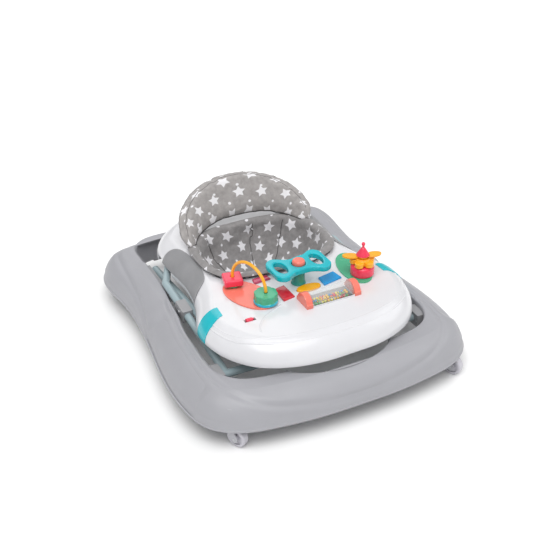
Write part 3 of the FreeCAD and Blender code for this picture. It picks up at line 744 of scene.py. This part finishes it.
def oval_at(a, b, power, angle):
    """Point of a squarish oval about the origin at one angle parameter."""
    c, s = math.cos(angle), math.sin(angle)
    return (a * math.copysign(abs(c) ** (2 / power), c), b * math.copysign(abs(s) ** (2 / power), s))


def fold_noise(point, scale, seed):
    return noise.noise(Vector((point[0] * scale + seed, point[1] * scale, point[2] * scale)))


def delete_loose(obj):
    """Delete the vertices that no face uses."""
    bpy.ops.object.select_all(action="DESELECT")
    obj.select_set(True)
    bpy.context.view_layer.objects.active = obj
    bpy.ops.object.mode_set(mode="EDIT")
    bpy.ops.mesh.select_all(action="SELECT")
    bpy.ops.mesh.delete_loose()
    bpy.ops.object.mode_set(mode="OBJECT")


def seat_bucket():
    """Fabric seat hung in the tray: a rolled rim, gathered walls, two leg holes and a low crotch."""
    rows = steps(SEAT_LEVELS, SEAT_ROWS)
    columns = SEAT_COLUMNS
    points = []
    for i, (z, a, b) in enumerate(rows):
        depth = i / (len(rows) - 1)
        for j in range(columns):
            angle = 2 * math.pi * j / columns
            power = SEAT_POWER - SEAT_POWER_FALL * depth
            x, y = oval_at(a, b, power, angle)
            back = max(0.0, math.sin(angle)) ** 1.5
            lift = back * math.exp(-((i / 9.0) ** 2))
            wall = math.exp(-(((z - 130) / 34.0) ** 2))
            gather = math.sin(angle * 17 + 1.5 * math.sin(angle * 3)) * 1.6 * wall * (0.4 + 0.6 * back)
            pleat = -sum(5.0 * math.exp(-(abs(angle - at) * 14) ** 1.2) for at in SEAM_TURNS)
            crumple = 4.5 * fold_noise((x, y, z), 0.030, 3.1) + 2.4 * fold_noise((x, y, z), 0.075, 9.7)
            front = max(0.0, -math.sin(angle))
            rim = math.exp(-(((i - 7) / 6.0) ** 2))
            wrinkle = 2.2 * rim * (0.35 + 0.65 * max(front, abs(math.cos(angle)))) * fold_noise(
                (angle * 60, z * 0.6, 1.0), 0.11, 5.0)
            out = (gather + pleat * wall * back + crumple * min(1, i / 12) * (1 - 0.4 * depth) + wrinkle)
            size = math.hypot(x, y)
            shrink = 1 - out / max(size, 30.0)
            points.append((SEAT_CENTRE[0] + x * shrink, SEAT_CENTRE[1] + y * shrink,
                           z + lift + 0.35 * wrinkle))
    centre = len(points)
    points.append((SEAT_CENTRE[0], SEAT_CENTRE[1], SEAT_FLOOR_Z))
    faces = grid_faces(len(rows), columns)
    last = (len(rows) - 1) * columns
    for j in range(columns):
        faces.append((last + j, last + (j + 1) % columns, centre))
    points = np.array(points)
    rings = points[:centre].reshape(len(rows), columns, 3)
    around = np.concatenate([[0], np.cumsum(np.hypot(*np.diff(rings[CLOTH_ROW, :, :2], axis=0).T))])
    down = np.concatenate([[0], np.cumsum(np.linalg.norm(np.diff(rings, axis=0), axis=2).mean(1))])
    flat = np.stack(np.broadcast_arrays(around[None, :], -down[:, None]), 2).reshape(-1, 2) * MM + 0.5
    flat = np.concatenate([flat, flat[-1:]])
    front_y = SEAT_CENTRE[1] - LEG_HOLE_AHEAD

    def in_hole(face):
        middle = points[list(face)].mean(0)
        return middle[1] < front_y and any(
            math.hypot(middle[0] - hx, middle[2] - hz) < hr for hx, hz, hr in LEG_HOLES)

    kept = [f for f in faces if not in_hole(f)]
    edges = {}
    for f in kept:
        for a, b in zip(f, f[1:] + f[:1]):
            key = (min(a, b), max(a, b))
            edges[key] = edges.get(key, 0) + 1
    rim_points = {v for key, count in edges.items() if count == 1 for v in key if v >= columns}
    bindings = []
    for hx, hz, hr in LEG_HOLES:
        ring_points = []
        for v in rim_points:
            x, y, z = points[v]
            d = math.hypot(x - hx, z - hz)
            if y < front_y and d < hr + 8:
                points[v, 0] = hx + (x - hx) * hr / d
                points[v, 2] = hz + (z - hz) * hr / d
                ring_points.append(v)
        ring_points.sort(key=lambda v: math.atan2(points[v, 2] - hz, points[v, 0] - hx))
        loop = points[ring_points]
        turn = np.unwrap(np.arctan2(loop[:, 2] - hz, loop[:, 0] - hx))
        even = np.linspace(-math.pi, math.pi, 90, endpoint=False)
        depth = np.interp(even, turn, loop[:, 1], period=2 * math.pi)
        depth = np.convolve(np.concatenate([depth[-3:], depth, depth[:3]]), np.ones(7) / 7, mode="valid")
        bindings.append(np.stack([hx + hr * np.cos(even), depth, hz + hr * np.sin(even)], 1) * MM)
    seat = mesh_object("seat_bucket", points * MM, kept, SEAT_CLOTH)
    set_print(seat, flat)
    delete_loose(seat)
    thick = seat.modifiers.new("cloth_thickness", "SOLIDIFY")
    thick.thickness = CLOTH_THICKNESS * MM
    thick.offset = 1.0
    settle(seat)
    seat.data.shade_smooth()
    trims = [tube_along("leg_hole_binding_" + side, loop, BINDING_R * MM, WEBBING, closed=True)
             for side, loop in zip(("left", "right"), bindings)]
    for name, turn in zip(("right", "middle", "left"), SEAM_TURNS):
        line = []
        for z, a, b in steps(SEAM_LEVELS, 80):
            power = SEAT_POWER - SEAT_POWER_FALL * (SEAM_TOP_Z - z) / SEAM_DROP
            x, y = oval_at(a - 5, b - 5, power, turn)
            line.append(((SEAT_CENTRE[0] + x) * MM, (SEAT_CENTRE[1] + y) * MM, z * MM))
        line = on_surface(seat, line, 0.1 * MM)
        trims.append(tube_along("seat_seam_" + name, line, SEAM_R * MM, SEAM_AND_SHADOW_GAP_CORD, sides=8))
    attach(seat, "tray")
    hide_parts("seat_sling")
    for trim in trims:
        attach(trim, "tray")
    return seat


# ---- back pad ----

PAD_CENTRE = (0.0, 108.0)
PAD_LEAN = 0.4
PAD_LEAN_Z = 170
PAD_A = 148.0
PAD_B = 88.0
# Height of the pad's top and bottom edges at each turn, in degrees from the back.
PAD_TOP = np.array([(0, 274), (10, 273), (20, 269), (30, 262), (40, 253), (50, 242), (60, 230), (70, 217),
                    (80, 205), (90, 195), (100, 188), (112, 180)], float)
PAD_FLOOR = np.array([(0, 177), (20, 176), (40, 172), (60, 168), (80, 167.2), (112, 167.2)], float)
PAD_END = 91.0
PAD_ROUNDING = 14
PAD_VOXEL = 5
PAD_SHRINK = 2.0
PAD_LOWEST = 167.0
PRINT_RADIUS = 128


def pad_frame(turn, z, depth):
    """Point of the pad: turn in degrees from the back, z up, depth from its outer face inwards."""
    t = math.radians(turn)
    lean = PAD_LEAN * (z - PAD_LEAN_Z)
    a, b = PAD_A + lean - depth, PAD_B + lean - depth
    return (a * math.sin(t), PAD_CENTRE[1] + b * math.cos(t), z)


def pad_top(turn):
    return np.interp(np.abs(turn), PAD_TOP[:, 0], PAD_TOP[:, 1])


def pad_floor(turn):
    return np.interp(np.abs(turn), PAD_FLOOR[:, 0], PAD_FLOOR[:, 1])


def pad_shell(shrink):
    """Closed skin of the horseshoe pad as rings of points around its length."""
    count_turn = 150
    count_around = 56
    rings = []
    for i in range(count_turn):
        turn = -PAD_END + 2 * PAD_END * i / (count_turn - 1)
        top = pad_top(turn) - shrink
        floor = pad_floor(turn) + shrink
        close = 1 - max(0.0, (abs(turn) - (PAD_END - PAD_ROUNDING)) / PAD_ROUNDING) ** 2.2
        middle = 0.5 * (top + floor)
        half = 0.5 * (top - floor) * max(0.12, close)
        ring = []
        for k in range(count_around):
            t = 2 * math.pi * k / count_around
            across, up = oval_at(1.0, 1.0, 3.2, t)
            z = middle + half * up
            share = (z - floor) / max(1.0, top - floor)
            thick = (30 - 12 * share - 2 * shrink) * max(0.12, close)
            centre = 15 - 4 * share
            ring.append(pad_frame(turn, z, centre - 0.5 * thick * across))
        rings.append(ring)
    return rings


def back_pad():
    """Padded horseshoe collar, inflated as cloth, with a near-black cord along its lower inner edge as
    painted shadow for the gap under it, and its gusset seam.
    """
    rings = pad_shell(PAD_SHRINK)
    points = [p for ring in rings for p in ring]
    around = len(rings[0])
    faces = grid_faces(len(rings), around)
    for first, order in ((0, -1), ((len(rings) - 1) * around, 1)):
        cap = [first + k for k in range(around)][::order]
        faces.append(tuple(cap))
    pad = mesh_object("back_pad_cushion", np.array(points) * MM, faces, PAD_CLOTH)
    inflate(pad, voxel=PAD_VOXEL * MM, pressure=4.0, cap=6 * MM)
    co = positions(pad) / MM
    lean = PAD_LEAN * (co[:, 2] - PAD_LEAN_Z)
    ahead = co[:, 1] - PAD_CENTRE[1]
    turn = np.degrees(np.arctan2(co[:, 0] / PAD_A, ahead / PAD_B))
    size = np.hypot(co[:, 0] / (PAD_A + lean), ahead / (PAD_B + lean))
    depth = (1 - size) * 0.5 * (PAD_A + PAD_B)
    below = np.maximum(0, pad_top(turn) - co[:, 2])
    across = 12 - depth
    wave = np.array([fold_noise(p, 0.035, 2.0) for p in co]) * 1.6 + np.array(
        [fold_noise((p[0], p[1], p[2] * 0.5), 0.09, 7.0) for p in co]) * 0.8
    co = co + normals_of(pad) * wave[:, None]
    co[:, 2] = np.maximum(co[:, 2], PAD_LOWEST)
    set_positions(pad, co * MM)
    pad.data.shade_smooth()
    top = co[:, 2] + below
    up = top + 12 + across + np.tanh(across / 4) * below * 1.05
    set_print(pad, np.stack([0.3 + np.radians(turn) * PRINT_RADIUS * MM, up * MM], 1))
    pad.data.materials.clear()
    pad.data.materials.append(PAD_CLOTH)

    # Near-black cord along the pad's lower inner edge: painted shadow for the gap between the pad and the
    # seat wall.
    shadow_gap_line = []
    for turn in np.linspace(-PAD_END + 4, PAD_END - 4, 140):
        shadow_gap_line.append(np.array(pad_frame(turn, pad_floor(turn) + 5.0, 30.0)) * MM)
    cord = tube_along("pad_painted_shadow_gap_cord", on_surface(pad, shadow_gap_line, 0.5 * MM), 1.5 * MM, SEAM_AND_SHADOW_GAP_CORD)
    seams = []
    for name, deep in (("pad_seam_front", 22.0), ("pad_seam_back", -4.0)):
        line = []
        for turn in np.linspace(-PAD_END + 10, PAD_END - 10, 140):
            line.append(np.array(pad_frame(turn, pad_top(turn) - 3.0, deep)) * MM)
        seams.append(tube_along(name, on_surface(pad, line, -0.1 * MM), 0.7 * MM, SEAM, sides=8))
    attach(pad, "tray")
    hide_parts("back_pad")
    for trim in [cord] + seams:
        trim.parent = pad
    return pad


def inflate(obj, voxel, pressure, cap):
    """Blow a closed skin up a little as cloth, so that it crowns and pulls in at its edges."""
    remesh = obj.modifiers.new("remesh", "REMESH")
    remesh.mode = "VOXEL"
    remesh.voxel_size = voxel
    settle(obj)
    start = positions(obj)
    cloth = obj.modifiers.new("cloth", "CLOTH")
    cloth.settings.quality = 5
    cloth.settings.mass = 0.3
    cloth.settings.use_pressure = True
    cloth.settings.uniform_pressure_force = pressure
    cloth.settings.tension_stiffness = 15
    cloth.settings.compression_stiffness = 15
    cloth.settings.shear_stiffness = 5
    cloth.settings.bending_stiffness = 0.5
    cloth.settings.effector_weights.gravity = 0
    cloth.point_cache.frame_start = 1
    cloth.point_cache.frame_end = 20
    for frame_number in range(1, 21):
        bpy.context.scene.frame_set(frame_number)
    evaluated = obj.evaluated_get(bpy.context.evaluated_depsgraph_get())
    end = np.array([v.co for v in evaluated.data.vertices])
    obj.modifiers.clear()
    bpy.context.scene.frame_set(1)
    move = end - start
    length = np.linalg.norm(move, axis=1)
    move *= np.minimum(1, cap / np.maximum(length, 1e-9))[:, None]
    set_positions(obj, start + move)
    smooth = obj.modifiers.new("sub", "SUBSURF")
    smooth.levels = smooth.render_levels = 1
    settle(obj)


# ---- toys ----

WHEEL_CENTRE = np.array([4.0, -93.0])
CUP_R = 14.3
CUP_FLOOR_Z = 203.6
SPINNER_CENTRE = np.array([132.0, -124.0])


def toys():
    """Rounded, moulded versions of the toys on the deck."""
    plan = [("steering_wheel", 1.0, 30, MATERIALS["teal"], "teal"),
            ("steering_column", 1.2, 6, MATERIALS["teal_green"], "teal_green"),
            ("horn_button", 0.8, 6, MATERIALS["coral"], "coral"),
            ("square_bead", 0.8, 14, MATERIALS["red"], "red"),
            ("flower_bead", 0.8, 6, MATERIALS["green"], "green"),
            ("coral_plate", 1.0, 3, MATERIALS["coral"], "coral"),
            ("green_plate", 1.0, 3, MATERIALS["green"], "green"),
            ("spinner_drum", 1.0, 6, MATERIALS["red"], "red"),
            ("spinner_flower", 0.8, 8, MATERIALS["yellow"], "yellow"),
            ("leaf_paddles", 0.7, 5, MATERIALS["yellow"], "yellow"),
            ("cone_cap", 0.8, 6, MATERIALS["red"], "red"),
            ("rattle_cradle", 1.0, 4, MATERIALS["coral"], "coral")]
    made = {}
    for node, voxel, rounds, material, slot in plan:
        piece = softened(node, node + "_moulded", voxel * MM, rounds, material)
        made[node] = piece
    open_cup(made["steering_wheel"])
    thin_post(made["green_plate"])
    return made


def open_cup(wheel):
    """Keep the cup in the wheel wide and deep enough for the pressed horn button."""
    co = positions(wheel) / MM
    away = co[:, :2] - WHEEL_CENTRE
    reach = np.hypot(away[:, 0], away[:, 1])
    wall = (reach > 11.5) & (reach < CUP_R) & (co[:, 2] > 204.3)
    co[wall, :2] = WHEEL_CENTRE + away[wall] * (CUP_R / reach[wall])[:, None]
    bottom = (reach <= 11.5) & (co[:, 2] > 203.0)
    co[bottom, 2] = CUP_FLOOR_Z
    set_positions(wheel, co * MM)


def thin_post(plate):
    """Slim the spinner's post a little so that the pieces on it turn freely."""
    co = positions(plate) / MM
    away = co[:, :2] - SPINNER_CENTRE
    post = (np.hypot(away[:, 0], away[:, 1]) < 6.0) & (co[:, 2] > 169.0)
    co[post, :2] = SPINNER_CENTRE + away[post] * 0.86
    set_positions(plate, co * MM)


def across_the_front(half):
    """A line in space given from its middle outwards to the right, with its mirror image before it."""
    return [(-x, y, z) for x, y, z in reversed(half[1:])] + half


STEP_OUTER = [(0, -269, 159), (74, -264, 158.5), (128, -247, 156.5), (172, -216, 152), (194, -184, 149),
              (204, -150, 148.5), (207, -128, 149)]
STEP_INNER = [(0, -255, 164), (66, -251, 164), (122, -238, 163), (158, -218, 160), (184, -190, 156.5),
              (197, -157, 154.5), (200, -128, 155)]
SWIRL = [(-62, -148, 164), (-67, -151, 164), (-83, -158, 164), (-105, -169, 164), (-122, -184, 164),
         (-133, -200, 164), (-137, -212, 163.6)]
# Each line's points, the radius of its bead, and how far the bead stands proud.
TRAY_LINES = {
    "tray_step_outer": (across_the_front(STEP_OUTER), 2.6, 0.5),
    "tray_step_inner": (across_the_front(STEP_INNER), 2.6, 0.5),
    "tray_swirl": (SWIRL, 3.2, 0.6),
}


def tray_lines():
    """Soft raised lines moulded into the tray."""
    shell = NODES["tray_shell"]
    for name, (points, radius, proud) in TRAY_LINES.items():
        line = steps(points, 220) * MM
        line = on_surface(shell, line, (proud - radius) * MM)
        bead = tube_along(name, line, radius * MM, MATERIALS["tray_white"], sides=24)
        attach(bead, "tray")


def paint_between(obj, x0, x1, material):
    """Give the faces of obj that lie between two X values a second material."""
    obj.data.materials.append(material)
    index = len(obj.data.materials) - 1
    for face in obj.data.polygons:
        if x0 < face.center.x < x1:
            face.material_index = index


def paint_below(obj, z, material):
    """Give the faces of obj that lie wholly below z a second material."""
    obj.data.materials.append(material)
    index = len(obj.data.materials) - 1
    co = positions(obj)
    for face in obj.data.polygons:
        if max(co[v][2] for v in face.vertices) < z:
            face.material_index = index


# ---- stage ----

# Each lamp's name, place, size in metres and power in watts.
LAMPS = [("key", (-0.9, -1.2, 2.6), 1.6, 16),
         ("fill", (2.4, -0.6, 1.8), 2.0, 13),
         ("back", (0.4, 2.6, 2.2), 2.0, 12)]
LAMP_AIM = Vector((0, 0, 0.1))
WORLD_STRENGTH = 0.47
SUN_STRENGTH = 1.6
SUN_SPREAD = math.radians(60)
SUN_HEADING = Vector((0.22, 0.35, -1.0))
SENSOR = 36.0
LENS = 1000 / 560 * SENSOR
CAMERA_AZIMUTH = math.radians(-27.2)
CAMERA_ELEVATION = math.radians(32.0)
CAMERA_DISTANCE = 2.294
CAMERA_TARGET = Vector((0.096, 0.165, 0.0))


def placed(name, data, place, heading):
    """An object in the scene at place that looks along heading."""
    obj = bpy.data.objects.new(name, data)
    obj.location = place
    obj.rotation_euler = heading.to_track_quat("-Z", "Y").to_euler()
    bpy.context.scene.collection.objects.link(obj)
    return obj


def stage():
    """Pale floor, soft studio light and the camera."""
    floor = mesh_object("floor", [(-6, -6, 0), (6, -6, 0), (6, 6, 0), (-6, 6, 0)], [(0, 1, 2, 3)],
                        pale_floor(), smooth=False)
    world = bpy.data.worlds.new("studio")
    world.use_nodes = True
    background = world.node_tree.nodes["Background"]
    background.inputs["Color"].default_value = (1.0, 1.0, 1.0, 1.0)
    background.inputs["Strength"].default_value = WORLD_STRENGTH
    bpy.context.scene.world = world
    for name, place, size, power in LAMPS:
        light = bpy.data.lights.new(name, "AREA")
        light.size = size
        light.energy = power
        placed(name, light, place, LAMP_AIM - Vector(place))
    sun = bpy.data.lights.new("overhead", "SUN")
    sun.energy = SUN_STRENGTH
    sun.angle = SUN_SPREAD
    placed("overhead", sun, (0, 0, 0), SUN_HEADING)
    lens = bpy.data.cameras.new("camera")
    lens.sensor_width = SENSOR
    lens.lens = LENS
    away = Vector((math.sin(CAMERA_AZIMUTH) * math.cos(CAMERA_ELEVATION),
                   -math.cos(CAMERA_AZIMUTH) * math.cos(CAMERA_ELEVATION), math.sin(CAMERA_ELEVATION)))
    camera = placed("camera", lens, CAMERA_TARGET + away * CAMERA_DISTANCE, -away)
    bpy.context.scene.camera = camera
    bpy.context.scene.view_settings.view_transform = "Standard"


def pale_floor():
    material, tree, bsdf = new_material("pale_floor")
    tint = blend_colours(tree, grain(tree, 2), (0.97, 0.97, 0.97), (0.98, 0.98, 0.98))
    tree.links.new(tint, bsdf.inputs["Base Color"])
    bsdf.inputs["Roughness"].default_value = 0.9
    return material


# Heights in millimetres up to which the two beads show their lower disc, and the trough between the
# rattle's ends.
FLOWER_DISC_TOP = 173.6
SQUARE_DISC_TOP = 172.3
TROUGH_X = (-13.3, 78.3)

finish_nodes()
base_ring()
seat_bucket()
back_pad()
made = toys()
paint_below(made["flower_bead"], FLOWER_DISC_TOP * MM, CYAN)
paint_below(made["square_bead"], SQUARE_DISC_TOP * MM, MATERIALS["green"])
NODES["red_key"].data.materials[0] = DARK_RED
NODES["small_red_key"].data.materials[0] = SHADE_RED
paint_between(made["rattle_cradle"], TROUGH_X[0] * MM, TROUGH_X[1] * MM, MATERIALS["tray_white"])
tray_lines()
stage()
